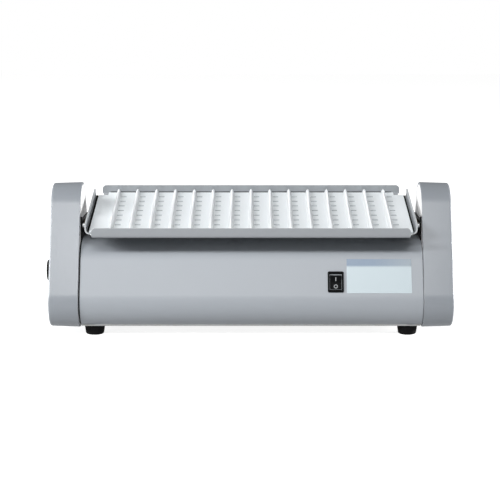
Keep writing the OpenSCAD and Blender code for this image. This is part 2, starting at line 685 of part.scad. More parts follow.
// Round fluted knob with a recess over the pot's bush and a pointer groove
module speed_knob() color(black_plastic) placed() translate([-cap_face_x - knob_gap, 0, knob_z]) rotate([0, -90, 0])
    difference() {
        rotate_extrude() polygon(concat([[0, 0], [knob_r, 0], [knob_r - 0.5, knob_proud - knob_gap - 1.5]],
            [for (a = [30:30:90]) [knob_r - 2 + 1.5 * cos(a), knob_proud - knob_gap - 1.5 + 1.5 * sin(a)]],
            [[0, knob_proud - knob_gap]]));
        translate([0, 0, -1]) cylinder(r = pot_shaft_r + 0.02, h = knob_proud - knob_gap - 1);
        translate([0, 0, -1]) cylinder(r = pot_bush_r + 1, h = pot_bush_out + 1.4);
        for (a = [0:15:345]) rotate(a) translate([knob_r + 0.5, 0, -1]) cylinder(r = 1, h = knob_proud - knob_gap - 1.5, $fn = 16);
        translate([2, -0.5, knob_proud - knob_gap - 0.5]) cube([knob_r, 1, 1]);
    }

module switch_body() color(black_plastic) placed() on_back_wall(switch_x, switch_z) difference() {
    union() {
        round_plate(bezel_w, bezel_h, slot_round, bezel_t);
        translate([-switch_body_w / 2, -switch_body_h / 2, -switch_depth]) cube([switch_body_w, switch_body_h, switch_depth]);
    }
    translate([-rocker_w / 2 - 0.4, -rocker_h / 2 - 0.4, -7]) cube([rocker_w + 0.8, rocker_h + 0.8, 10]);
    translate([0, 0, -rocker_pivot_depth])
        rod_x(trunnion_r + run_gap, -switch_body_w / 2 - 1, switch_body_w / 2 + 1, 0, 0);
}

// Paddle of the switch: a shallow V that is pressed in at its lower end
module switch_rocker() color(black_plastic) placed() on_back_wall(switch_x, switch_z)
    translate([0, 0, -rocker_pivot_depth]) rotate([switch_swing / 2, 0, 0]) {
        rod_x(trunnion_r, -rocker_w / 2 - trunnion_l, rocker_w / 2 + trunnion_l, 0, 0);
        rotate([90, 0, 90]) translate([0, 0, -rocker_w / 2]) linear_extrude(rocker_w)
            polygon([[-rocker_h / 2 + 0.9, -1], [-rocker_h / 2 + 0.5, 3.6], [-rocker_h / 2 + 1.3, 4.3], [0, 3.2],
                [rocker_h / 2 - 1.3, 4.3], [rocker_h / 2 - 0.5, 3.6], [rocker_h / 2 - 0.9, -1], [0, -2.4]]);
    }

module power_jack() color(black_plastic) placed() translate([0, jack_y, jack_z]) {
    difference() {
        union() {
            rod_x(jack_flange_r, cap_face_x, cap_face_x + jack_proud, 0, 0);
            rod_x(jack_flange_r - 1.3, cap_inside_x - 9, cap_face_x, 0, 0);
        }
        rod_x(jack_bore_r, cap_face_x - 7.5, cap_face_x + jack_proud + 1, 0, 0);
    }
    rod_x(1, cap_face_x - 8, cap_face_x, 0, 0);
}

module jack_nut() color(zinc) placed() difference() {
    translate([cap_inside_x - 2.5, jack_y, jack_z]) rotate([0, 90, 0]) cylinder(r = jack_flange_r + 1.5, h = 2.5, $fn = 6);
    rod_x(jack_flange_r - 1.28, cap_inside_x - 3.5, cap_inside_x + 1, jack_y, jack_z);
}

base_plate();
body_shell();
left_side_frame();
right_side_frame();
left_end_cap();
right_end_cap();
left_inner_cover();
right_inner_cover();
left_bush();
right_bush();
cap_screws();
frame_screws();
feet();
foot_screws();
foot_nuts();
gear_motor();
motor_screws();
motor_shaft();
crank_disc();
crank_pin();
drive_arm();
left_pivot_shaft();
right_pivot_shaft();
left_tray_bracket();
right_tray_bracket();
left_thrust_washer();
right_thrust_washer();
tray();
tray_screws();
tube_mat();
mat_ridges();
control_board();
board_standoffs();
board_parts();
speed_pot();
pot_shaft();
speed_knob();
switch_body();
switch_rocker();
power_jack();
jack_nut();
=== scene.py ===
"""Test tube rocker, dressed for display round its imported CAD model.

All pieces are in metres in the row frame: X along the machine, -Y at its back
(the switch side) and Z up. Profiles are worked out in the YZ plane and carried
along X, or along Y for the ridges of the tube mat.
"""
import json
import math

import bmesh
import bpy
import numpy as np
from mathutils import Euler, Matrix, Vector


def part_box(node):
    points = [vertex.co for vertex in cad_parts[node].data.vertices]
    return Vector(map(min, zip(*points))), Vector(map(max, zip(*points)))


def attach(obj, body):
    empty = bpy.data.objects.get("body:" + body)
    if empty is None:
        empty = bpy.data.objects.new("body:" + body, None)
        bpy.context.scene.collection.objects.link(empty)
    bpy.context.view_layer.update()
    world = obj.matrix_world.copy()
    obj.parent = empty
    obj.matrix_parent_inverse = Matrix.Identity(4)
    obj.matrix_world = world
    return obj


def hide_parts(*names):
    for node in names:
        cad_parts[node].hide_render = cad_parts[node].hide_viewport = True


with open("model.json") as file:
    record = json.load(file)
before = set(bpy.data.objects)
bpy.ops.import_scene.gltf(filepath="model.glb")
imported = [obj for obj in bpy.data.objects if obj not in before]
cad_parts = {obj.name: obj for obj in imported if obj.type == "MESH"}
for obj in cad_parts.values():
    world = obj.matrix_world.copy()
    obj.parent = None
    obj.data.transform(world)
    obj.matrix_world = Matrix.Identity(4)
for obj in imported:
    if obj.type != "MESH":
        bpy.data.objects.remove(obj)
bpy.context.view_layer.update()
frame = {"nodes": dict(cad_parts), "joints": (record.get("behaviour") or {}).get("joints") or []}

bl_info = {
    "name": "Test Tube Rocker",
    "version": (1, 0, 0),
    "blender": (4, 5, 0),
    "location": "View3D > Sidebar > Rocker",
    "description": "Builds the surfaces, finishes and stage of a test tube rocker",
    "category": "Add Mesh",
}

MM = 0.001

# The machine's own places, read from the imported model
CAP_LO, CAP_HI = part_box("left_end_cap")
SHELL_LO, SHELL_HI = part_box("body_shell")
MID_X = (CAP_LO.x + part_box("right_end_cap")[1].x) / 2
HALF_SHELL = (SHELL_HI.x - SHELL_LO.x) / 2
CAP_WIDTH = CAP_HI.x - CAP_LO.x
CAP_OPEN_X = MID_X - CAP_HI.x
JOINTS = {joint["name"]: joint for joint in frame["joints"]}

# Points closer than WELD become one, and edges sharper than EDGE_ANGLE are bevelled
WELD, EDGE_ANGLE = 2e-6, math.radians(50)

# The paddle's face: the level of its valley over the swing axis, its rise to the ends and that
# rise's power. Its round ends lie beyond, and the axis lies behind the housing's wall.
PADDLE_VALLEY, PADDLE_RISE, PADDLE_BEND = 3.2 * MM, 1.1 * MM, 1.25
PADDLE_END, PADDLE_AXIS = 1.3 * MM, 2.6 * MM


def linear(hex_colour):
    """Turns an sRGB colour written as 0xRRGGBB into linear red, green and blue."""
    parts = [(hex_colour >> shift & 255) / 255 for shift in (16, 8, 0)]
    return [p / 12.92 if p <= 0.04045 else ((p + 0.055) / 1.055) ** 2.4 for p in parts]


def length(label, text, millimetres):
    """A length property, shown with its unit."""
    return bpy.props.FloatProperty(name=label, description=text, default=millimetres * MM,
                                   unit="LENGTH", subtype="DISTANCE", precision=5)


def colour(label, text, hex_colour):
    """A colour property, kept linear as Blender keeps colours."""
    return bpy.props.FloatVectorProperty(name=label, description=text, size=3, min=0, max=1,
                                         default=linear(hex_colour), subtype="COLOR")


class RockerSizes(bpy.types.PropertyGroup):
    """Sizes of the caps, housing, tray, mat, switch and rating plate."""

    # End caps
    corner_r: length("Corner radius", "Radius of the caps' two lower corners", 27)
    corner_y: length("Corner offset", "Middle plane to the centre of a lower corner", 42.6)
    corner_z: length("Corner height", "Floor to the centre of a lower corner", 35.2)
    cap_top_r: length("Cap top radius", "Radius of the caps' rounded top", 31)
    cap_top_z: length("Cap top height", "Floor to the centre of the top arc", 119.2)
    cap_draft: length("Cap draft", "How much a cap shrinks towards its outer face", 0.8)
    cap_edge_r: length("Cap edge", "Rounding of a cap's outer edge", 2.2)
    cap_wall: length("Cap wall", "Wall of the moulded caps", 2.2)
    # Housing shell
    shell_inset: length("Shell inset", "How far the shell lies inside the caps", 2.1)
    shell_wall: length("Shell wall", "Wall of the housing shell", 2)
    shell_reach: length("Shell reach", "How much narrower the right groove is than the left", 1.1)
    shoulder_r: length("Shoulder radius", "Radius of the shell's upper shoulders", 33)
    shell_open_y: length("Shell opening", "Half width of the opening underneath", 52)
    # Tray
    tray_l: length("Tray length", "Length of the tray over its end lips", 333)
    tray_w: length("Tray depth", "Depth of the tray over its long lips", 135)
    tray_rise: length("Tray height", "Rocking axis to the tray's underside", 11.3)
    lip_h: length("Lip height", "Height of the tray's lips", 10.7)
    sheet_t: length("Tray sheet", "Thickness of the tray's sheet", 1.5)
    end_bend_r: length("End bend", "Outer bend radius of the end lips", 5)
    long_bend_r: length("Long bend", "Outer bend radius of the long lips", 3)
    long_lip_l: length("Long lip", "Length of the long lips", 317.4)
    end_lip_l: length("End lip", "Length of the end lips", 111)
    relief_l: length("Corner relief", "Length of the corner reliefs along the long lips", 2.5)
    lip_corner_r: length("Lip corner", "Corner rounding of the long lips", 4)
    # Tube mat
    mat_l: length("Mat length", "Length of the tube mat", 324.4)
    mat_w: length("Mat depth", "Depth of the mat between its notched corners", 130)
    mat_end_w: length("Mat end depth", "Depth of the mat at its two ends", 113)
    mat_mid_l: length("Mat middle", "Length of the mat's deeper middle part", 304)
    mat_t: length("Mat sheet", "Thickness of the mat's sheet", 1.6)
    mat_gap: length("Mat gap", "Gap between the mat and the tray", 0.2)
    ridge_count: bpy.props.IntProperty(name="Ridges", description="Number of ridges on the mat",
                                       default=15, min=1)
    ridge_pitch: length("Ridge pitch", "Distance between ridges", 20.1)
    ridge_w: length("Ridge width", "Width of a ridge at its foot", 4.6)
    ridge_h: length("Ridge height", "Height of a ridge", 5.2)
    ridge_l: length("Ridge length", "Length of a ridge", 123)
    slot_rows: bpy.props.IntProperty(name="Slots", description="Drain slots along each ridge",
                                     default=8, min=1)
    slot_pitch: length("Slot pitch", "Distance between drain slots", 14.4)
    slot_l: length("Slot length", "Length of a slot across its channel", 6)
    slot_w: length("Slot width", "Width of a slot along its channel", 2.4)
    slot_in: length("Slot gap", "Distance from a ridge's foot to its slots", 0.4)
    # Power switch
    switch_x: length("Switch place", "Middle plane to the switch", 85)
    switch_z: length("Switch height", "Floor to the switch's centre", 57.2)
    bezel_w: length("Bezel width", "Width of the switch's bezel", 16)
    bezel_h: length("Bezel height", "Height of the switch's bezel", 21.5)
    # Rating plate
    plate_x: length("Plate place", "Middle plane to the rating plate", 128.7)
    plate_w: length("Plate width", "Width of the rating plate", 65.1)
    plate_low: length("Plate start", "Start of the leaning wall to the plate's lower edge", 1.4)
    plate_h: length("Plate height", "Height of the rating plate along the wall", 35.2)
    plate_t: length("Plate film", "Thickness of the rating plate's film", 0.22)
    plate_lift: length("Plate lift", "Wall to the film's outer face", 0.25)
    border: length("Plate border", "Width of the rating plate's paler border", 0.8)
    band_solid: length("Band", "Height of the printed band at its full strength", 5.4)
    band_fade: length("Band's edge", "Plate's top to where the printed band has faded out", 8.2)


class RockerColours(bpy.types.PropertyGroup):
    """Colours of the finishes."""

    moulding: colour("Housing", "Moulded end caps", 0x868B91)
    shell: colour("Shell", "Powder coat of the housing shell", 0x959AA0)
    # The covers' nearly white is partly their lighter moulding and partly painted light on these
    # inner faces
    cover: colour("Covers", "Moulded covers inside the caps", 0xF9F9F9)
    tray: colour("Tray", "Powder coat of the tray", 0x93979B)
    # The tray edge's paler grey is partly thinner coat and partly a painted highlight
    edge: colour("Tray edge", "Cut edges of the tray's sheet", 0xB9BDBF)
    mat: colour("Mat", "Moulded tube mat", 0xE8EDF0)
    ridge: colour("Ridges", "Ridges of the tube mat", 0xE8EBED)
    # The slot walls' darker grey is painted shade in the slots and along the mat's cut edges
    slot_wall: colour("Slot walls", "Cut walls of the mat's slots", 0xB9C0C3)
    black: colour("Black parts", "Switch, knob and inlet", 0x0A0B0C)
    # The feet's black is darkened further: painted shade under the machine
    rubber: colour("Feet", "Rubber feet", 0x09090A)
    plate: colour("Plate", "Film of the rating plate", 0xA3B1B7)
    band: colour("Plate band", "Printed band along the rating plate's top", 0x5A7087)
    band_end: colour("Plate band's end", "The band where it greys out", 0x78858F)


# ---- Finishes -------------------------------------------------------------

def add_node(tree, kind, settings=None, inputs=None):
    """Adds a shader node with its settings; an input takes a value, or a socket to link from."""
    node = tree.nodes.new(kind)
    for key, value in (settings or {}).items():
        setattr(node, key, value)
    for key, value in (inputs or {}).items():
        if isinstance(value, bpy.types.NodeSocket):
            tree.links.new(value, node.inputs[key])
        else:
            node.inputs[key].default_value = value
    return node


def arithmetic(tree, operation, *values):
    """The output of a math node that works on the values, each a number or a socket."""
    return add_node(tree, "ShaderNodeMath", {"operation": operation},
                    dict(enumerate(values))).outputs[0]


def shade(rgb, factor):
    """A linear colour made lighter or darker, with full alpha."""
    return [min(1.0, c * factor) for c in rgb] + [1.0]


def textured_finish(name, rgb, grain, depth, rough, mottle=0.03, metallic=0.0, ior=1.5,
                    patch=60 * MM, stretch=(1, 1, 1), shine=0.5):
    """A finish whose fine grain moves its roughness and relief, over slow patches of tone.

    grain is the size of one grain in metres, depth its relief, rough its lowest and highest
    roughness, mottle the share by which patches differ and patch their size. stretch draws the
    grain out, ior sets how highlights grow at a slant, and shine is their level."""
    material = bpy.data.materials.new(name)
    material.use_nodes = True
    tree = material.node_tree
    shader = tree.nodes["Principled BSDF"]
    place = add_node(tree, "ShaderNodeTexCoord").outputs["Object"]
    drawn = add_node(tree, "ShaderNodeMapping", inputs={
        "Vector": place, "Scale": stretch}).outputs["Vector"]
    fine = add_node(tree, "ShaderNodeTexNoise", inputs={
        "Vector": drawn, "Scale": 1 / grain, "Detail": 3.0, "Roughness": 0.55})
    slow = add_node(tree, "ShaderNodeTexNoise", inputs={
        "Vector": place, "Scale": 1 / patch, "Detail": 2.0})
    tone = add_node(tree, "ShaderNodeMix", {"data_type": "RGBA"}, {
        0: slow.outputs[0], 6: shade(rgb, 1 - mottle), 7: shade(rgb, 1 + mottle)})
    speck = add_node(tree, "ShaderNodeMix", {"data_type": "RGBA", "blend_type": "MULTIPLY"}, {
        0: mottle * 2, 6: tone.outputs[2], 7: fine.outputs[1]})
    sheen = add_node(tree, "ShaderNodeMapRange", inputs={
        "Value": fine.outputs[0], "From Min": 0.3, "From Max": 0.7,
        "To Min": rough[0], "To Max": rough[1]})
    relief = add_node(tree, "ShaderNodeBump", inputs={
        "Height": fine.outputs[0], "Strength": 0.6, "Distance": depth})
    for socket, value in (("Base Color", speck.outputs[2]), ("Roughness", sheen.outputs[0]),
                          ("Normal", relief.outputs[0])):
        tree.links.new(value, shader.inputs[socket])
    shader.inputs["Metallic"].default_value = metallic
    shader.inputs["IOR"].default_value = ior
    shader.inputs["Specular IOR Level"].default_value = shine
    return material


FINISHES = {}


def make_finishes(colours, s):
    """Makes every finish once. Each comment says what the real one gives the eye, and where a
    colour carries painted light or shade.
    """
    FINISHES.update(
        # Spark-eroded ABS: a fine matt grain of about 1 mm, even colour, soft highlights
        moulding=textured_finish("moulded_abs_grey", colours.moulding, 1.1 * MM, 0.05 * MM,
                                 (0.28, 0.38), 0.012),
        # Fine powder coat on the shell: near the caps' grey, with a broader, softer sheen
        shell=textured_finish("powder_coat_fine_grey", colours.shell, 1.6 * MM, 0.04 * MM,
                              (0.42, 0.5), 0.012),
        # The caps' ABS in a lighter grey, painted up to nearly white for the strong light on these
        # inner faces; a little duller and with a flatter grain
        cover=textured_finish("pale_abs_painted_light", colours.cover, 1.1 * MM, 0.03 * MM,
                              (0.38, 0.46), 0.01),
        # Epoxy powder coat on steel: orange peel about 2 mm across under a low gloss
        tray=textured_finish("powder_coat_light_grey", colours.tray, 2.0 * MM, 0.06 * MM,
                             (0.32, 0.42), 0.02),
        # Its cut edges, where the coat draws back and leaves a smoother line; the paler colour is
        # partly the thinner coat and partly a painted highlight
        cut_edge=textured_finish("powder_coat_cut_edge", colours.edge, 2.0 * MM, 0.02 * MM,
                                 (0.28, 0.36), 0.02),
        # Powder coat again, in satin black
        black_steel=textured_finish("powder_coat_black", linear(0x0C0D0E), 2.0 * MM, 0.06 * MM,
                                    (0.38, 0.5), 0.04, shine=0.15),
        # Moulded polypropylene: slightly uneven, soft sheen, nearly white
        mat=textured_finish("moulded_polypropylene_white", colours.mat, 1.6 * MM, 0.04 * MM,
                            (0.42, 0.55), 0.012, ior=1.41),
        # The walls of its cut edges and slots: duller than the moulded faces, and a darker grey
        # that is painted shade in the slots
        slot_wall=textured_finish("mat_cut_walls_painted_shade", colours.slot_wall, 1.2 * MM, 0.06 * MM,
                                  (0.6, 0.7), 0.03, ior=1.41, shine=0.2),
        # Black strips beside the mat's ends and front: painted shade in the gaps there, with a
        # grain of 1 mm
        foam=textured_finish("foam_rubber_black", linear(0x0B0B0C), 1.0 * MM, 0.15 * MM,
                             (0.8, 0.95), 0.1, ior=1.45, shine=0.1),
        # The mat's ridges, polished by the tubes that roll along them
        ridge=textured_finish("rubbed_polypropylene_white", colours.ridge, 1.6 * MM, 0.02 * MM,
                              (0.3, 0.42), 0.01, ior=1.41),
        # Nitrile rubber feet: dull, with the bloom of the mould, their black darkened further as
        # painted shade under the machine
        rubber=textured_finish("nitrile_rubber", colours.rubber, 0.9 * MM, 0.08 * MM,
                               (0.62, 0.8), 0.08, ior=1.52, shine=0.12),
        # Moulded black plastics, nylon and the knob's ABS alike: faintly speckled and matt
        black=textured_finish("moulded_plastic_black", colours.black, 0.8 * MM, 0.03 * MM,
                              (0.48, 0.6), 0.05, ior=1.53, shine=0.05),
        # Nylon of the switch paddle, from a finely etched mould: even matt black
        paddle=textured_finish("etched_nylon_black", linear(0x0A0B0C), 1.5 * MM,
                              0.01 * MM, (0.5, 0.6), 0.03, ior=1.58, shine=0.05),
        # Zinc-plated sheet steel: pale metal with cloudy patches a few mm wide
        zinc=textured_finish("zinc_plated_sheet", linear(0xC7C9C8), 3.5 * MM, 0.03 * MM,
                             (0.3, 0.5), 0.06, metallic=1.0, patch=14 * MM),
        # Zinc-plated screws and nuts, brighter and finer than the sheet
        screw=textured_finish("zinc_plated_screw", linear(0xCBCDCE), 0.9 * MM, 0.02 * MM,
                              (0.25, 0.4), 0.05, metallic=1.0, patch=6 * MM),
        # Ground steel: faint rings round the axis, drawn 0.6 mm apart so that they show
        shaft=textured_finish("ground_steel", linear(0xBFC1C3), 0.6 * MM, 0.01 * MM,
                              (0.18, 0.3), 0.03, metallic=1.0, stretch=(1, 0.05, 0.05)),
        # Sintered bronze: warm, dull and full of pores about half a millimetre apart
        bronze=textured_finish("sintered_bronze", linear(0xB79257), 0.5 * MM, 0.05 * MM,
                               (0.4, 0.6), 0.08, metallic=1.0, patch=5 * MM),
        # Nylon of the brackets and washers: waxy black with hardly any grain
        waxy=textured_finish("waxy_nylon_black", linear(0x0D0D0E), 0.7 * MM, 0.02 * MM,
                             (0.35, 0.45), 0.03, ior=1.48, stretch=(1, 0.1, 0.1), shine=0.15),
        # Glass-epoxy board under green solder mask: the weave shows as fine stripes
        board=textured_finish("solder_mask_board", linear(0x1E6B3C), 1.2 * MM, 0.03 * MM,
                              (0.22, 0.32), 0.08, ior=1.55, stretch=(1, 0.3, 1)),
        # Pad-printed pale grey ink on the switch
        ink=textured_finish("printed_ink_grey", linear(0xA2A5A7), 0.4 * MM, 0.005 * MM,
                            (0.5, 0.6), 0.02),
        plate=printed_film(colours, s),
    )


def printed_film(colours, s):
    """Pale polyester film with a blue band along its top, which greys out to one side.

    The band ends in a soft edge, and a thin paler border runs round the field below it."""
    material = textured_finish("printed_polyester_film", colours.plate, 1.0 * MM, 0.01 * MM,
                               (0.3, 0.4), 0.008, ior=1.57)
    tree = material.node_tree
    shader = tree.nodes["Principled BSDF"]
    plain = shader.inputs["Base Color"].links[0].from_socket
    low, high = back_wall(s, s.plate_x, s.plate_low + np.array([0, s.plate_h]), 0)
    middle, height = (low[2] + high[2]) / 2, high[2] - low[2]
    place = add_node(tree, "ShaderNodeTexCoord").outputs["Object"]
    x, _, z = add_node(tree, "ShaderNodeSeparateXYZ", inputs={"Vector": place}).outputs
    band = add_node(tree, "ShaderNodeMapRange", {"interpolation_type": "SMOOTHSTEP"}, {
        "Value": z, "From Min": high[2] - s.band_fade, "From Max": high[2] - s.band_solid})
    # The blue greys out from a tenth left of the middle to the plate's right end
    side = add_node(tree, "ShaderNodeMapRange", inputs={
        "Value": x, "From Min": low[0] - s.plate_w * 0.1, "From Max": low[0] + s.plate_w * 0.5})
    blue = add_node(tree, "ShaderNodeMix", {"data_type": "RGBA"}, {
        0: side.outputs[0], 6: shade(colours.band, 1), 7: shade(colours.band_end, 1)})
    # Distance from the plate's middle, along and up, and whether it reaches the border
    over = []
    for at, centre, size in ((x, low[0], s.plate_w), (z, middle, height)):
        offset = arithmetic(tree, "SUBTRACT", at, centre)
        reach = arithmetic(tree, "ABSOLUTE", offset)
        over.append(arithmetic(tree, "GREATER_THAN", reach, size / 2 - s.border))
    bordered = add_node(tree, "ShaderNodeMix", {"data_type": "RGBA"}, {
        0: arithmetic(tree, "MAXIMUM", *over), 6: plain, 7: shade(colours.plate, 1.06)})
    final = add_node(tree, "ShaderNodeMix", {"data_type": "RGBA"}, {
        0: band.outputs[0], 6: bordered.outputs[2], 7: blue.outputs[2]})
    tree.links.new(final.outputs[2], shader.inputs["Base Color"])
    return material


# ---- Meshes ---------------------------------------------------------------

def grid_quads(rows, cols, wrap=False):
    """Quads between the points of a grid stored row by row; wrap closes each row on itself."""
    row = np.arange(rows - 1)[:, None] * cols
    col = np.arange(cols if wrap else cols - 1)[None, :]
    after = (col + 1) % cols
    near, far = row + col, row + after
    return np.stack([near, far, far + cols, near + cols], -1).reshape(-1, 4)


def copies(points, quads, offsets):
    """Repeats one shape at each offset: all points are shifted and all quads renumbered."""
    many = (points[None] + offsets[:, None]).reshape(-1, 3)
    step = np.arange(len(offsets))[:, None, None] * len(points)
    return many, (quads[None] + step).reshape(-1, 4)


def new_piece(name, points, quads, body, finish, replaces=(), sharp=38.0, bevel=None,
              wall=None, outward=None, rim=None):
    """Makes one finished piece from points in the row frame and quads between them.

    Doubles are merged, which closes seams and poles, and the normals are made to point out.
    wall gives an open sheet its thickness, on the side away from outward, and bevel then
    rounds its sharp edges. rim is the finish of the sheet's cut edges, if it differs."""
    mesh = bpy.data.meshes.new(name)
    mesh.from_pydata(points.reshape(-1, 3).tolist(), [], quads.tolist())
    work = bmesh.new()
    work.from_mesh(mesh)
    bmesh.ops.remove_doubles(work, verts=work.verts, dist=WELD)
    bmesh.ops.dissolve_degenerate(work, dist=1e-7, edges=work.edges)
    bmesh.ops.recalc_face_normals(work, faces=work.faces)
    if outward is not None:
        total = sum((f.normal * f.calc_area() for f in work.faces), Vector())
        if total.dot(Vector(outward)) < 0:
            bmesh.ops.reverse_faces(work, faces=work.faces)
    work.to_mesh(mesh)
    work.free()
    mesh.shade_smooth()
    mesh.set_sharp_from_angle(angle=math.radians(sharp))
    mesh.materials.append(FINISHES[finish])
    piece = bpy.data.objects.new(name, mesh)
    bpy.context.scene.collection.objects.link(piece)
    if wall:
        solid = piece.modifiers.new("Sheet", "SOLIDIFY")
        solid.thickness, solid.offset, solid.use_even_offset = wall, -1, True
        if rim:
            mesh.materials.append(FINISHES[rim])
            solid.material_offset_rim = 1
    if bevel:
        edge = piece.modifiers.new("Edges", "BEVEL")
        edge.width, edge.segments, edge.limit_method = bevel, 2, "ANGLE"
        edge.angle_limit, edge.harden_normals = EDGE_ANGLE, True
    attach(piece, body)
    if replaces:
        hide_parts(*replaces)
    return piece


def finish_nodes(finish, *names):
    """Gives CAD nodes whose shape is right their finish."""
    for name in names:
        slots = frame["nodes"][name].material_slots
        if not slots:
            raise RuntimeError(f"{name} has no material slot")
        for slot in slots:
            slot.material = FINISHES[finish]


# ---- Outlines -------------------------------------------------------------

def arc(centre, radius, start, end, count):
    """Points on a circle round centre, from one angle in degrees to another."""
    turn = np.radians(np.linspace(start, end, count))
    return np.array(centre) + radius * np.stack([np.cos(turn), np.sin(turn)], 1)


def lean(s):
    """Angle in degrees of the side wall's outward normal over the horizontal.

    The wall is the common tangent of a lower corner and the top arc, so its normal makes the
    difference of the radii along the line that joins their centres."""
    run, rise = -s.corner_y, s.cap_top_z - s.corner_z
    away = math.acos((s.corner_r - s.cap_top_r) / math.hypot(run, rise))
    return math.degrees(math.atan2(rise, run) - away)


def cap_outline(s, inset):
    """The caps' outline, moved inwards by inset: two lower corner arcs and the top arc.

    All arcs keep their centres and lose inset from their radii, so that points at the same
    place in two outlines lie on one normal."""
    tilt = lean(s)
    return np.concatenate([
        arc((s.corner_y, s.corner_z), s.corner_r - inset, -90, tilt, 46),
        arc((0, s.cap_top_z), s.cap_top_r - inset, tilt, 180 - tilt, 54),
        arc((-s.corner_y, s.corner_z), s.corner_r - inset, 180 - tilt, 270, 46)])


def shoulder_centre(s):
    """Centre (y, z) of the shell's shoulder arc, which touches the side wall and the top."""
    tilt = math.radians(lean(s))
    reach = math.cos(tilt) * s.corner_y + math.sin(tilt) * s.corner_z + s.corner_r
    z = SHELL_HI.z - s.shoulder_r
    return (reach - s.shell_inset - s.shoulder_r - math.sin(tilt) * z) / math.cos(tilt), z


def shell_outline(s, inset):
    """The shell's open outline from one lower edge over the top to the other.

    It starts where the corner arc crosses the opening's edge, follows the leaning wall and
    the shoulder to the top, and is mirrored for the other side."""
    tilt, radius = lean(s), s.corner_r - s.shell_inset - inset
    first = -math.degrees(math.acos((s.shell_open_y - s.corner_y) / radius))
    half = np.concatenate([
        arc((s.corner_y, s.corner_z), radius, first, tilt, 40),
        arc(shoulder_centre(s), s.shoulder_r - inset, tilt, 90, 36)])
    return np.concatenate([half, half[::-1] * (-1, 1)])


def back_wall(s, x, run, out):
    """Points on the shell's back, run metres up from where the leaning wall starts.

    Past the wall's end they follow the shoulder arc; out lifts them off the surface."""
    x, run = np.broadcast_arrays(x, run)
    tilt = math.radians(lean(s))
    centre = shoulder_centre(s)
    radius = s.corner_r - s.shell_inset
    low = np.array([s.corner_y, s.corner_z]) + radius * np.array([math.cos(tilt), math.sin(tilt)])
    high = np.array(centre) + s.shoulder_r * np.array([math.cos(tilt), math.sin(tilt)])
    flat = np.linalg.norm(high - low)
    turn = tilt + np.clip(run - flat, 0, None) / s.shoulder_r
    along = np.clip(run, None, flat)[..., None]
    straight = low + along * np.array([-math.sin(tilt), math.cos(tilt)])
    curved = np.stack([np.cos(turn), np.sin(turn)], -1) * s.shoulder_r + centre
    yz = np.where((run > flat)[..., None], curved, straight)
    yz = yz + out * np.stack([np.cos(turn), np.sin(turn)], -1)
    return np.stack([x + MID_X, -yz[..., 0], yz[..., 1]], -1)


def on_wall(s, points):
    """Moves points from the switch's own frame (x, up the wall, outwards) to its place."""
    tilt = math.radians(lean(s))
    centre = shoulder_centre(s)
    reach = math.cos(tilt) * centre[0] + math.sin(tilt) * centre[1] + s.shoulder_r
    wall_y = (reach - math.sin(tilt) * s.switch_z) / math.cos(tilt)
    up = np.array([0, math.sin(tilt), math.cos(tilt)])
    out = np.array([0, -math.cos(tilt), math.sin(tilt)])
    place = np.array([s.switch_x + MID_X, -wall_y, s.switch_z])
    return place + points[:, :1] * (1, 0, 0) + points[:, 1:2] * up + points[:, 2:] * out


def paddle_face(half, up):
    """Level of the paddle's face over its axis at height up, for a paddle 2 x half high."""
    return PADDLE_VALLEY + PADDLE_RISE * (abs(up) / (half - PADDLE_END)) ** PADDLE_BEND


def half_swing(joint):
    """Half the angle between a joint's two limits, in radians."""
    return math.radians(sum(joint["range_deg"]) / 2)


def on_tray(points):
    """Turns points from the level tray's frame, with its origin on the rocking axis."""
    rock = JOINTS["platform_rock"]
    turned = points @ np.array(Euler((half_swing(rock), 0, 0)).to_matrix()).T
    return turned + np.array([MID_X, 0, rock["pos_m"][2]])


def rounded_rectangle(width, height, radius, corner=7):
    """A closed rectangle with round corners, anticlockwise from its right side."""
    half = np.array([width / 2 - radius, height / 2 - radius])
    return np.concatenate([
        arc(half * sign, radius, start, start + 90, corner)
        for sign, start in (((1, 1), 0), ((-1, 1), 90), ((-1, -1), 180), ((1, -1), 270))])


def rings(loops, heights):
    """Stacks closed loops of equal count at their heights, as one wrapped grid."""
    points = np.stack([np.column_stack([loop, np.full(len(loop), h)])
                       for loop, h in zip(loops, heights)])
    return points.reshape(-1, 3), grid_quads(len(loops), len(loops[0]), wrap=True)


# ---- Operators ------------------------------------------------------------

class ROCKER_OT_finishes(bpy.types.Operator):
    """Make the finishes that the pieces share"""

    bl_idname = "rocker.finishes"
    bl_label = "Finishes"

    def execute(self, context):
        make_finishes(context.scene.rocker_colours, context.scene.rocker_sizes)
        return {"FINISHED"}


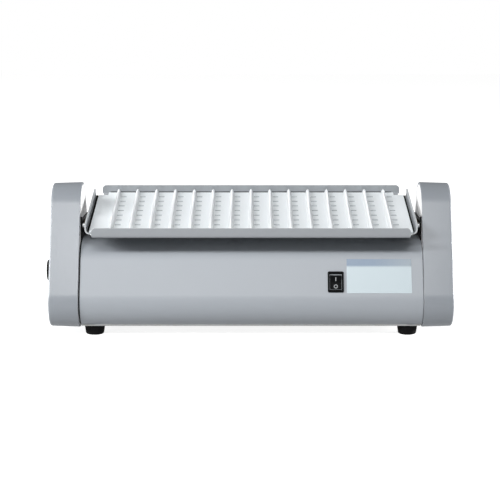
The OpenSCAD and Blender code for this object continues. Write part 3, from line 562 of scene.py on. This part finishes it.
class ROCKER_OT_end_caps(bpy.types.Operator):
    """Make the two drafted end caps and finish the covers that close them"""

    bl_idname = "rocker.end_caps"
    bl_label = "End caps"

    def execute(self, context):
        s = context.scene.rocker_sizes
        # Chamfer of the open rim, inside corner of the face, and the face's two levels
        rim, corner = 0.4 * MM, 2 * MM
        face, back = CAP_WIDTH, CAP_WIDTH - s.cap_wall
        turn = np.radians(np.linspace(0, 90, 9))
        inner, outer = s.cap_wall + s.cap_draft, s.cap_draft + s.cap_edge_r
        # Two rings near the edge keep the face flat
        hold, flat = outer + 0.8 * MM, outer + 9 * MM
        # Depth from the open side, inset of the outline, share left round the middle
        path = np.array(
            [(back, inner + corner, 0), (back, inner + corner, 1), (back - corner, inner, 1),
             (0, s.cap_wall, 1), (0, rim, 1), (rim, 0, 1)]
            + [(face - s.cap_edge_r * (1 - math.sin(a)),
                s.cap_draft + s.cap_edge_r * (1 - math.cos(a)), 1) for a in turn]
            + [(face, hold, 1), (face, flat, 1), (face, flat, 0)])
        middle = np.array([0, (CAP_LO.z + CAP_HI.z) / 2])
        for name, side in (("left_end_cap", -1), ("right_end_cap", 1)):
            outline = np.stack([middle + (cap_outline(s, inset) - middle) * share
                                for _, inset, share in path])
            x = MID_X + side * (CAP_OPEN_X + path[:, 0])
            points = np.concatenate([np.broadcast_to(x[:, None, None], outline.shape[:2] + (1,)),
                                     outline], -1)
            new_piece(name.replace("end_cap", "cap_moulding"), points,
                      grid_quads(len(path), outline.shape[1], wrap=True), "chassis",
                      "moulding", [name])
        finish_nodes("cover", "left_inner_cover", "right_inner_cover")
        return {"FINISHED"}


class ROCKER_OT_housing(bpy.types.Operator):
    """Make the housing shell and finish the steel that closes it"""

    bl_idname = "rocker.housing"
    bl_label = "Housing"

    def execute(self, context):
        s = context.scene.rocker_sizes
        loop = np.concatenate([shell_outline(s, 0), shell_outline(s, s.shell_wall)[::-1]])
        count, half = len(loop), len(loop) // 2
        x = MID_X + np.linspace(-HALF_SHELL, HALF_SHELL + s.shell_reach, 13)
        points = np.stack([np.column_stack([np.full(count, at), loop]) for at in x])
        near = np.arange(half - 1)
        band = np.stack([near, near + 1, count - 2 - near, count - 1 - near], 1)
        quads = np.concatenate([grid_quads(len(x), count, wrap=True), band,
                                band + count * (len(x) - 1)])
        new_piece("housing_shell", points, quads, "chassis", "shell",
                  ["body_shell"], bevel=0.35 * MM)
        finish_nodes("black_steel", "left_side_frame", "right_side_frame")
        finish_nodes("zinc", "base_plate")
        return {"FINISHED"}


class ROCKER_OT_tray(bpy.types.Operator):
    """Make the bent sheet tray"""

    bl_idname = "rocker.tray"
    bl_label = "Tray"

    def execute(self, context):
        s = context.scene.rocker_sizes

        def lip(bend, top):
            """Half a channel's outer profile from the bend's start up to the lip's edge."""
            low = arc((-bend, bend), bend, -90, 0, 8)
            low = low - (low[0] * (1, 0))
            rise = np.linspace(bend, top, 3)[1:-1]
            high = top + s.lip_corner_r * np.sin(np.radians(np.linspace(0, 90, 8)))
            up = np.concatenate([rise, high])
            return np.concatenate([low, np.column_stack([np.full(len(up), bend), up])])

        top = s.lip_h - s.lip_corner_r
        across, along = np.linspace(-1, 1, 13), np.linspace(-1, 1, 25)
        # Floor and long lips: the channel's profile carried along X
        flat = s.tray_w / 2 - s.long_bend_r
        side = lip(s.long_bend_r, top) + (flat, 0)
        profile = np.concatenate([side[::-1] * (-1, 1),
                                  np.column_stack([across[1:-1] * flat,
                                                   np.zeros(len(across) - 2)]), side])
        over = np.clip(profile[:, 1] - top, 0, None)
        relief = s.relief_l * np.clip((s.tray_w / 2 - abs(profile[:, 0])) / s.long_bend_r, 0, 1)
        reach = s.long_lip_l / 2 - relief - (s.lip_corner_r - np.sqrt(np.clip(
            s.lip_corner_r ** 2 - over ** 2, 0, None)))
        size = (len(profile), len(along))
        points = np.stack([reach[:, None] * along[None], np.broadcast_to(profile[:, :1], size),
                           np.broadcast_to(profile[:, 1:], size)], -1)
        parts = [(points.reshape(-1, 3), grid_quads(*size))]
        # End lips: the floor narrows from the long lips' width to the end lip's
        bend_x = s.tray_l / 2 - s.end_bend_r
        end = lip(s.end_bend_r, top) + (bend_x, 0)
        end = np.concatenate([[(s.long_lip_l / 2 - s.relief_l, 0)], end])
        width = np.full(len(end), s.end_lip_l / 2)
        width[0] = flat
        size = (len(end), len(across))
        for hand in (-1, 1):
            strip = np.stack([np.broadcast_to(hand * end[:, :1], size),
                              width[:, None] * across[None],
                              np.broadcast_to(end[:, 1:], size)], -1)
            parts.append((strip.reshape(-1, 3), grid_quads(*size)))
        starts = np.cumsum([0] + [len(p) for p, _ in parts[:-1]])
        points = np.concatenate([p for p, _ in parts]) + (0, 0, s.tray_rise)
        quads = np.concatenate([q + start for (_, q), start in zip(parts, starts)])
        # The sheet's cut edges take the paler grey, partly a painted highlight
        new_piece("tray_sheet", on_tray(points), quads, "platform", "tray",
                  ["tray"], wall=s.sheet_t, bevel=0.25 * MM, outward=(0, 0, -1), rim="cut_edge")
        return {"FINISHED"}


class ROCKER_OT_tube_mat(bpy.types.Operator):
    """Make the moulded tube mat with its drain slots and ridges"""

    bl_idname = "rocker.tube_mat"
    bl_label = "Tube mat"

    def execute(self, context):
        s = context.scene.rocker_sizes
        under = s.tray_rise + s.sheet_t + s.mat_gap
        top = under + s.mat_t
        places = (np.arange(s.ridge_count) - (s.ridge_count - 1) / 2) * s.ridge_pitch
        slot_x = places + s.ridge_w / 2 + s.slot_in
        slot_y = (np.arange(s.slot_rows) - (s.slot_rows - 1) / 2) * s.slot_pitch
        # Sheet: a grid without the cells of its four notched corners and of its slots
        x = np.sort(np.concatenate([(-s.mat_l / 2, -s.mat_mid_l / 2, s.mat_mid_l / 2, s.mat_l / 2),
                                    slot_x, slot_x + s.slot_l]))
        y = np.sort(np.concatenate([(-s.mat_w / 2, -s.mat_end_w / 2, s.mat_end_w / 2, s.mat_w / 2),
                                    slot_y - s.slot_w / 2, slot_y + s.slot_w / 2]))
        gx, gy = np.meshgrid(x, y)
        points = np.stack([gx, gy, np.full_like(gx, top)], -1).reshape(-1, 3)
        quads = grid_quads(len(y), len(x))
        centre = points[quads].mean(1)
        corner = (abs(centre[:, 0]) > s.mat_mid_l / 2) & (abs(centre[:, 1]) > s.mat_end_w / 2)
        in_slot = ((abs(centre[:, :1] - slot_x - s.slot_l / 2) < s.slot_l / 2).any(1)
                   & (abs(centre[:, 1:2] - slot_y) < s.slot_w / 2).any(1))
        # The sheet's cut walls take the darker grey of painted shade
        new_piece("mat_sheet", on_tray(points), quads[~(corner | in_slot)], "mat",
                  "mat", ["tube_mat"], wall=s.mat_t, bevel=0.3 * MM,
                  outward=(0, 0, 1), rim="slot_wall")
        # Black strips paint the shade in the gaps between the mat and the tray's lips
        self.dark_gaps(s, under, top)
        self.ridges(s, np.column_stack([places, np.zeros(len(places)),
                                        np.full(len(places), top)]))
        return {"FINISHED"}

    def ridges(self, s, offsets):
        """The row of ridges: |x / half width|^side + (z / height)^crest = 1, on a concave foot."""
        side, crest, foot = 1.35, 1.7, 0.7 * MM
        turn = np.radians(np.linspace(90, 0, 9))
        rise = s.ridge_h * np.sin(turn) ** (2 / crest)
        half = s.ridge_w / 2 * np.cos(turn) ** (2 / side)
        flare = np.radians(np.linspace(0, 90, 4))
        half = np.concatenate([half[:-1], s.ridge_w / 2 + foot * (1 - np.cos(flare))])
        rise = np.concatenate([rise[:-1], foot * (1 - np.sin(flare))])
        section = np.column_stack([np.concatenate([-half[::-1], half[1:]]),
                                   np.concatenate([rise[::-1], rise[1:]])])
        # Rounded ends: millimetres from the ridge's end, and the section's share there
        ends = [(0, 0), (0, 0.88), (0.15, 0.96), (0.6, 1.0), (8, 1.0)]
        rows = [(hand * (s.ridge_l / 2 - inset * MM), share)
                for hand, seq in ((-1, ends), (1, ends[::-1])) for inset, share in seq]
        points = np.concatenate([np.column_stack([section[:, 0] * share,
                                                  np.full(len(section), at),
                                                  section[:, 1] * share]) for at, share in rows])
        points, quads = copies(points, grid_quads(len(rows), len(section), wrap=True), offsets)
        new_piece("mat_ridge_row", on_tray(points), quads, "mat",
                  "ridge", ["mat_ridges"], sharp=50)

    def dark_gaps(self, s, under, top):
        """Black strips of painted shade in the tray's gaps, along the mat's two ends and its front
        edge.
        """
        gap, proud, short, count = 0.15 * MM, 0.5 * MM, 4 * MM, 15
        high = top + proud
        # The mat's edge, the strip's lower level over the tray's bend, and its length
        ends = (s.mat_l / 2, under + 0.3 * MM, s.mat_end_w - short)
        front = (s.mat_w / 2, under + 0.8 * MM, s.mat_mid_l - short)
        # Direction from the tray's middle, run and width of each strip
        for name, (dx, dy), (edge, low, reach), wide in (
                ("left_end_painted_shade", (-1, 0), ends, 1.7 * MM),
                ("right_end_painted_shade", (1, 0), ends, 1.0 * MM),
                ("front_painted_shade", (0, 1), front, 0.7 * MM)):
            near, far, soft = edge + gap, edge + gap + wide, wide / 4
            section = np.array([(near, low), (near, high - soft), (near + soft, high),
                                (far - soft, high), (far, high - soft), (far, low)])
            away, level = section.T
            points = np.stack([
                np.column_stack([away * dx + at * dy, away * dy + at * abs(dx), level])
                for at in np.linspace(-0.5, 0.5, count) * reach])
            corners, lids = len(section), np.array([[0, 1, 4, 5], [1, 2, 3, 4]])
            quads = np.concatenate([grid_quads(count, corners, wrap=True), lids,
                                    lids + corners * (count - 1)])
            new_piece(name, on_tray(points.reshape(-1, 3)), quads, "platform",
                      "foam", sharp=50)


class ROCKER_OT_switch(bpy.types.Operator):
    """Make the power switch: its framed body, its paddle and the paddle's marks"""

    bl_idname = "rocker.switch"
    bl_label = "Switch"

    def execute(self, context):
        s = context.scene.rocker_sizes
        # The bezel's rims at the sides and ends, and how far it overlaps the body behind it
        rim_x, rim_y, lap_x, lap_y = 4.4 * MM, 6 * MM, 3 * MM, 2.4 * MM
        paddle_w, paddle_h = s.bezel_w - rim_x, s.bezel_h - rim_y
        gap, deep, floor = 0.8 * MM, 15 * MM, 7 * MM
        corner, edge, side = 1.5 * MM, 0.7 * MM, 1.1 * MM
        # Width, height and corner of the four outlines; the speck closes both ends
        well = (paddle_w + gap, paddle_h + gap, 0.4 * MM)
        body = (s.bezel_w - lap_x, s.bezel_h - lap_y, 0.5 * MM)
        bezel, speck = (s.bezel_w, s.bezel_h, corner), (0.1 * MM, 0.1 * MM, 0.02 * MM)
        # The same and a level for each ring, from the back to the well's floor
        table = [(*speck, -deep), (*body, -deep), (*body, 0), (*bezel, 0), (*bezel, side)]
        for a in np.radians([30, 60, 90]):
            inset = edge * (1 - math.cos(a))
            table.append((s.bezel_w - 2 * inset, s.bezel_h - 2 * inset, corner - inset,
                          side + edge * math.sin(a)))
        table += [(well[0] + edge, well[1] + edge, edge, side + edge),
                  (*well, side + edge / 2), (*well, -floor), (*speck, -floor)]
        points, quads = rings([rounded_rectangle(w, h, r) for w, h, r, _ in table],
                              [z for *_, z in table])
        count = len(points) // len(table)
        near = np.arange(count // 2 - 1)
        lid = np.stack([near, near + 1, count - 2 - near, count - 1 - near], 1)
        quads = np.concatenate([quads, lid, lid + count * (len(table) - 1)])
        new_piece("switch_frame", on_wall(s, points), quads, "chassis", "black",
                  ["switch_body"])
        # Paddle: two hollow halves that meet in a shallow valley, carried along X
        half = paddle_h / 2
        y = np.linspace(-1, 1, 25) * (half - PADDLE_END)
        upper = np.column_stack([y, paddle_face(half, y)])
        # Its end from the face downwards, and the keel below the axis
        nose = np.array([(half - 0.72 * MM, 4.06 * MM), (half - 0.5 * MM, 3.5 * MM),
                         (half - 0.9 * MM, -1.0 * MM)])
        loop = np.concatenate([upper, nose, [(0, -2.4 * MM)], nose[::-1] * (-1, 1)])
        swing = half_swing(JOINTS["power_switch"])
        turned = loop @ np.array([[math.cos(swing), math.sin(swing)],
                                  [-math.sin(swing), math.cos(swing)]])
        turned = turned - (0, PADDLE_AXIS)
        middle = turned.mean(0)
        # Rounded sides: share of the section left round its middle, and millimetres inwards
        ends = [(0, 0), (0.93, 0), (0.985, 0.12), (1, 0.5)]
        rows = [(hand * (paddle_w / 2 - inset * MM), share)
                for hand, seq in ((-1, ends), (1, ends[::-1])) for share, inset in seq]
        points = np.concatenate([
            np.column_stack([np.full(len(turned), at), middle + (turned - middle) * share])
            for at, share in rows])
        quads = grid_quads(len(rows), len(turned), wrap=True)
        new_piece("switch_paddle", on_wall(s, points), quads, "rocker", "paddle",
                  ["switch_rocker"])
        self.marks(s, half, swing)
        return {"FINISHED"}

    def marks(self, s, half, swing):
        """The upright bar of ON and the ring of OFF, as thin inked pads on the paddle."""
        lift, ink, speck = 0.03 * MM, 0.05 * MM, 0.02 * MM
        bar_w, bar_h, bar_up = 0.85 * MM, 4.4 * MM, 2.9 * MM
        ring_in, ring_out, ring_down = 1.35 * MM, 2.0 * MM, 4.1 * MM
        slope = math.atan(PADDLE_RISE * PADDLE_BEND / (half - PADDLE_END))

        def stand(points, up, slope):
            """Lays flat points on the paddle at height up, sloping as its face does there."""
            y = up + points[:, 1] * math.cos(slope) - points[:, 2] * math.sin(slope)
            z = (paddle_face(half, up) + lift + points[:, 1] * math.sin(slope)
                 + points[:, 2] * math.cos(slope))
            across = y * math.cos(swing) - z * math.sin(swing)
            out = y * math.sin(swing) + z * math.cos(swing) - PADDLE_AXIS
            return on_wall(s, np.column_stack([points[:, 0], across, out]))

        table = [(speck, speck, 0), (bar_w, bar_h, 0), (bar_w, bar_h, ink), (speck, speck, ink)]
        points, quads = rings([rounded_rectangle(w, h, min(w, h) * 0.45) for w, h, _ in table],
                              [z for *_, z in table])
        new_piece("switch_mark_on", stand(points, bar_up, slope), quads, "rocker",
                  "ink")
        loops = [arc((0, 0), r, 0, 360, 41)[:-1]
                 for r in (ring_in, ring_out, ring_out, ring_in, ring_in)]
        points, quads = rings(loops, [0, 0, ink, ink, 0])
        new_piece("switch_mark_off", stand(points, -ring_down, -slope), quads, "rocker",
                  "ink")


class ROCKER_OT_rating_plate(bpy.types.Operator):
    """Make the blank rating plate that follows the housing's back"""

    bl_idname = "rocker.rating_plate"
    bl_label = "Rating plate"

    def execute(self, context):
        s = context.scene.rocker_sizes
        x = s.plate_x + np.linspace(-0.5, 0.5, 9) * s.plate_w
        run = s.plate_low + np.linspace(0, 1, 13) * s.plate_h
        gx, gr = np.meshgrid(x, run)
        points = back_wall(s, gx, gr, s.plate_lift).reshape(-1, 3)
        new_piece("rating_plate", points, grid_quads(len(run), len(x)), "chassis",
                  "plate", wall=s.plate_t, bevel=0.06 * MM,
                  outward=(0, -1, 0))
        return {"FINISHED"}


class ROCKER_OT_fittings(bpy.types.Operator):
    """Finish the feet, knob, inlet, fasteners, pivot, drive and electrics"""

    bl_idname = "rocker.fittings"
    bl_label = "Fittings"

    def execute(self, context):
        finish_nodes("rubber", "feet")
        finish_nodes("black", "speed_knob", "power_jack", "speed_pot", "board_parts")
        finish_nodes("screw", "cap_screws", "frame_screws", "foot_screws", "foot_nuts",
                     "motor_screws", "tray_screws", "jack_nut", "board_standoffs")
        finish_nodes("shaft", "left_pivot_shaft", "right_pivot_shaft", "motor_shaft", "crank_pin",
                     "pot_shaft")
        finish_nodes("zinc", "gear_motor", "crank_disc", "drive_arm")
        finish_nodes("bronze", "left_bush", "right_bush")
        finish_nodes("waxy", "left_tray_bracket", "right_tray_bracket", "left_thrust_washer",
                     "right_thrust_washer")
        finish_nodes("board", "control_board")
        return {"FINISHED"}


class ROCKER_OT_stage(bpy.types.Operator):
    """Make the white floor, the studio light and the camera"""

    bl_idname = "rocker.stage"
    bl_label = "Stage"

    def execute(self, context):
        scene = context.scene
        scene.view_settings.view_transform = "Standard"
        mesh = bpy.data.meshes.new("floor")
        mesh.from_pydata([(-4, -4, 0), (4, -4, 0), (4, 4, 0), (-4, 4, 0)], [], [(0, 1, 2, 3)])
        floor = bpy.data.objects.new("floor", mesh)
        scene.collection.objects.link(floor)
        mesh.materials.append(self.floor_paint())
        self.sky(scene)
        # Each lamp's place, the point it faces, its size along X and up, and its power
        machine = Vector((MID_X, 0, 0.08))
        for name, place, target, size, power in (
                ("left_strip", (-2.2, -1.45, 1.27), (-2.2, 0, 0.08), (2.0, 0.25), 74.0),
                ("front_bar", (-0.26, -1.475, 1.25), machine, (0.9, 0.18), 14.0),
                ("right_softbox", (0.377, -1.406, 1.30), machine, (0.5, 0.5), 6.5),
                ("left_wing", (-1.87, 0.231, 0.31), machine, (0.6, 0.12), 26.0),
                ("right_wing", (1.88, 0.231, 0.25), machine, (0.6, 0.12), 42.0)):
            lamp = bpy.data.lights.new(name, "AREA")
            lamp.shape, lamp.size, lamp.size_y, lamp.energy = "RECTANGLE", *size, power
            holder = bpy.data.objects.new(name, lamp)
            holder.location = place
            towards = Vector(target) - Vector(place)
            holder.rotation_euler = towards.to_track_quat("-Z", "Y").to_euler()
            scene.collection.objects.link(holder)
        # A long lens behind the machine, a hair left of its middle, tipped 10 degrees down
        view = bpy.data.cameras.new("camera")
        view.lens, view.sensor_width = 115.2, 36
        camera = bpy.data.objects.new("camera", view)
        camera.location = (MID_X - 1.05 * MM, -1.6357, 0.3677)
        camera.rotation_euler = (math.radians(80), 0, 0)
        scene.collection.objects.link(camera)
        scene.camera = camera
        return {"FINISHED"}

    def floor_paint(self):
        """Matt floor: white to the camera, where it keeps the shadow, and dim to the rest."""
        material = bpy.data.materials.new("matt_white_floor")
        material.use_nodes = True
        tree = material.node_tree
        shader = tree.nodes["Principled BSDF"]
        camera = add_node(tree, "ShaderNodeLightPath").outputs["Is Camera Ray"]
        tone = add_node(tree, "ShaderNodeMix", {"data_type": "RGBA"}, {
            0: camera, 6: shade(linear(0xB4B4B4), 1), 7: shade(linear(0xD8D8D8), 1)})
        tree.links.new(tone.outputs[2], shader.inputs["Base Color"])
        shader.inputs["Roughness"].default_value = 0.9
        shader.inputs["Specular IOR Level"].default_value = 0.1
        shader.inputs["Emission Color"].default_value = (1, 1, 1, 1)
        glow = add_node(tree, "ShaderNodeMapRange", inputs={
            "Value": camera, "To Min": 0.24, "To Max": 0.8})
        tree.links.new(glow.outputs[0], shader.inputs["Emission Strength"])
        return material

    def sky(self, scene):
        """Plain surroundings: full white to the camera, and dim as a light."""
        world = bpy.data.worlds.new("studio")
        scene.world = world
        world.use_nodes = True
        tree = world.node_tree
        camera = add_node(tree, "ShaderNodeLightPath").outputs["Is Camera Ray"]
        level = add_node(tree, "ShaderNodeMapRange", inputs={
            "Value": camera, "To Min": 0.22, "To Max": 1.0})
        back = tree.nodes["Background"]
        back.inputs["Color"].default_value = (1, 1, 1, 1)
        tree.links.new(level.outputs[0], back.inputs["Strength"])


class ROCKER_PT_panel(bpy.types.Panel):
    """Lists the rocker's pieces"""

    bl_idname = "ROCKER_PT_panel"
    bl_label = "Test Tube Rocker"
    bl_space_type = "VIEW_3D"
    bl_region_type = "UI"
    bl_category = "Rocker"

    def draw(self, context):
        for operator in OPERATORS:
            self.layout.operator(operator.bl_idname)
        for group in (context.scene.rocker_sizes, context.scene.rocker_colours):
            box = self.layout.box()
            for name in group.__annotations__:
                box.prop(group, name)


OPERATORS = (ROCKER_OT_finishes, ROCKER_OT_end_caps, ROCKER_OT_housing, ROCKER_OT_tray,
             ROCKER_OT_tube_mat, ROCKER_OT_switch, ROCKER_OT_rating_plate, ROCKER_OT_fittings,
             ROCKER_OT_stage)
CLASSES = (RockerSizes, RockerColours, *OPERATORS, ROCKER_PT_panel)


def register():
    """Registers the classes and hangs the two groups of values on the scene."""
    for item in CLASSES:
        bpy.utils.register_class(item)
    bpy.types.Scene.rocker_sizes = bpy.props.PointerProperty(type=RockerSizes)
    bpy.types.Scene.rocker_colours = bpy.props.PointerProperty(type=RockerColours)


def unregister():
    """Takes the values and the classes away again."""
    del bpy.types.Scene.rocker_sizes, bpy.types.Scene.rocker_colours
    for item in reversed(CLASSES):
        bpy.utils.unregister_class(item)


def main():
    """Builds all pieces in order."""
    register()
    for operator in OPERATORS:
        group, _, action = operator.bl_idname.partition(".")
        getattr(getattr(bpy.ops, group), action)()


if __name__ == "__main__":
    main()
